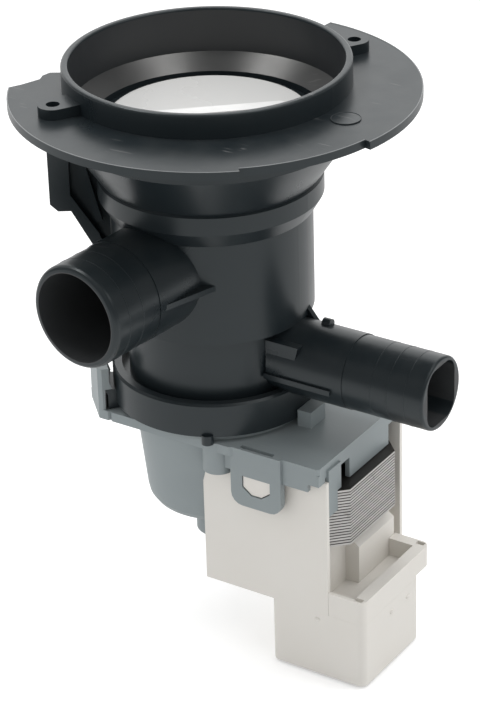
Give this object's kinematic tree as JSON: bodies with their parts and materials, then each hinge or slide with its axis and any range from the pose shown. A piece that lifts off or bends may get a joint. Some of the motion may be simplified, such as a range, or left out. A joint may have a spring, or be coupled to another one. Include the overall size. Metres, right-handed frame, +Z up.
{
  "type": "washer drain pump",
  "caption": "Drain pump of a washing machine: a sump body with side ports under a round collar and flange, with a synchronous motor latched below it.",
  "frame": {"origin": "on the pump's axis, at the flange's upper face, midway between the two screw holes", "axes": "+Z up along the pump's axis, out of the collar; +X the way the outlet port points"},
  "size_m": [0.1639, 0.1569, 0.2403],
  "materials": {
    "black_plastic": "moulded, satin",
    "white_plastic": "moulded, satin",
    "grey_plastic": "moulded, satin",
    "rubber": "matt",
    "shaft_steel": "ground",
    "lamination_steel": "punched sheet",
    "ferrite": "sintered",
    "bronze": "sintered",
    "enamelled_wire": "enamelled copper",
    "tab_brass": "plated"
  },
  "bodies": {
    "housing": {"mounting_flange": "black_plastic", "sump_body": "black_plastic", "chamber_cover": "grey_plastic", "chamber_seal": "rubber", "front_bush": "bronze", "rear_bush": "bronze", "front_bush_mount": "rubber", "rear_bush_mount": "rubber", "shaft_seal": "rubber", "motor_frame": "grey_plastic", "stator_core": "lamination_steel", "front_bobbin": "white_plastic", "rear_bobbin": "white_plastic", "front_winding": "enamelled_wire", "rear_winding": "enamelled_wire", "thermal_cutout": "black_plastic", "coil_cover": "white_plastic", "terminal_box": "white_plastic", "terminal_tabs": "tab_brass"},
    "rotor": {"rotor_shaft": "shaft_steel", "rotor_hub": "white_plastic", "rotor_magnet": "ferrite", "thrust_washers": "shaft_steel", "drive_dog": "white_plastic"},
    "wheel": {"impeller": "white_plastic", "impeller_lid": "white_plastic"},
    "filter": {"filter_basket": "white_plastic"},
    "cap": {"filter_cap": "white_plastic", "filter_cap_seal": "rubber"}
  },
  "joints": [
    {"name": "rotor_spin", "type": "hinge", "parent": "housing", "child": "rotor", "pos_m": [0, 0, -0.16], "axis": [0, 0, 1], "continuous": true},
    {"name": "impeller_lag", "type": "hinge", "parent": "rotor", "child": "wheel", "pos_m": [0, 0, -0.105], "axis": [0, 0, -1], "range_deg": [0, 180]},
    {"name": "filter_pull", "type": "slide", "parent": "housing", "child": "filter", "axis": [0, 0, 1], "range_m": [0, 0.1]},
    {"name": "cap_turn", "type": "hinge", "parent": "filter", "child": "cap", "pos_m": [0, 0, -0.02], "axis": [0, 0, 1], "range_deg": [0, 90]}
  ]
}
